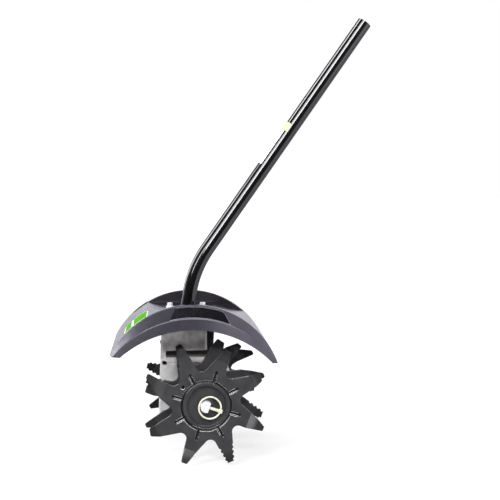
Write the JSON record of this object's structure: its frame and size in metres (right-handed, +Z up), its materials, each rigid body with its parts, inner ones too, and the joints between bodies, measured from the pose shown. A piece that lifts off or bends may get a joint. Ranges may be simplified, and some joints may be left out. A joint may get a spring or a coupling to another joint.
{
  "type": "mini cultivator attachment",
  "caption": "Tiller attachment for a split-boom trimmer: bent steel tube, worm gearbox, arched guard and spiked tines on a cross axle.",
  "frame": {"origin": "on the ground under the middle of the bounding box, with the tool standing on its tines", "axes": "+X back towards the user, +Y along the tine axle towards the side of the gearbox with the grease plug, +Z up"},
  "size_m": [0.459, 0.242, 0.7702],
  "materials": {
    "tube_black": "gloss black stove enamel",
    "liner_plastic": "extruded nylon, natural",
    "cable_steel": "wound spring steel, greased",
    "bushing_nylon": "moulded nylon, satin",
    "gear_steel": "cut and ground steel",
    "wheel_bronze": "hobbed bronze",
    "cast_aluminium": "bare die casting, tumbled satin",
    "guard_plastic": "moulded polypropylene, satin",
    "tine_paint": "black powder coat, satin",
    "axle_zinc": "bright zinc plate",
    "pin_yellow_zinc": "yellow zinc plate",
    "screw_zinc": "bright zinc plate",
    "rubber_black": "nitrile rubber, matt",
    "felt_grey": "pressed wool felt"
  },
  "bodies": {
    "frame": {"shaft_tube": "tube_black", "shaft_liner": "liner_plastic", "flex_cable": "cable_steel", "top_bushing": "bushing_nylon", "lower_bushing": "bushing_nylon", "worm_bearing_top": "gear_steel", "worm_bearing_bottom": "gear_steel", "axle_bearing_near": "gear_steel", "axle_bearing_far": "gear_steel", "axle_seal_near": "rubber_black", "axle_seal_far": "rubber_black", "gearbox_near_half": "cast_aluminium", "gearbox_far_half": "cast_aluminium", "gearbox_screws": "screw_zinc", "tube_clamp_screw": "screw_zinc", "grease_plug": "screw_zinc", "guard": "guard_plastic", "guard_bolts": "screw_zinc", "guard_washers": "screw_zinc"},
    "worm": {"worm_shaft": "gear_steel"},
    "drive_end": {"cable_drive_end": "gear_steel"},
    "lock_ring_near": {"lock_ring_near": "pin_yellow_zinc"},
    "lock_ring_far": {"lock_ring_far": "pin_yellow_zinc"},
    "tine_set": {"tine_axle": "axle_zinc", "worm_wheel": "wheel_bronze", "wheel_key": "gear_steel", "tine_outer_near": "tine_paint", "tine_inner_near": "tine_paint", "tine_inner_far": "tine_paint", "tine_outer_far": "tine_paint", "hub_outer_near": "tine_paint", "hub_inner_near": "tine_paint", "hub_inner_far": "tine_paint", "hub_outer_far": "tine_paint", "felt_washer_near": "felt_grey", "felt_washer_far": "felt_grey", "lock_pin_near": "pin_yellow_zinc", "lock_pin_far": "pin_yellow_zinc"}
  },
  "joints": [
    {"name": "tine_spin", "type": "hinge", "parent": "frame", "child": "tine_set", "pos_m": [-0.06957, 0, 0.10613], "axis": [0, 1, 0], "continuous": true},
    {"name": "worm_spin", "type": "hinge", "parent": "frame", "child": "worm", "pos_m": [-0.12462, 0, 0.11643], "axis": [0.184, 0, 0.9829], "continuous": true},
    {"name": "drive_end_spin", "type": "hinge", "parent": "frame", "child": "drive_end", "pos_m": [0.19961, 0, 0.73504], "axis": [0.5736, 0, 0.8192], "continuous": true},
    {"name": "lock_ring_near_open", "type": "hinge", "parent": "tine_set", "child": "lock_ring_near", "pos_m": [-0.04599, -0.113, 0.09754], "axis": [0.342, 0, 0.9397], "range_deg": [0, 110], "stiffness_Nm_per_rad": 0.02, "springref_deg": -17.19},
    {"name": "lock_ring_far_open", "type": "hinge", "parent": "tine_set", "child": "lock_ring_far", "pos_m": [-0.04599, 0.113, 0.09754], "axis": [-0.342, 0, -0.9397], "range_deg": [0, 110], "stiffness_Nm_per_rad": 0.02, "springref_deg": -17.19}
  ],
  "couplings": [
    {"joint": "worm_spin", "follows": "tine_spin", "ratio": -36},
    {"joint": "drive_end_spin", "follows": "tine_spin", "ratio": -36}
  ]
}
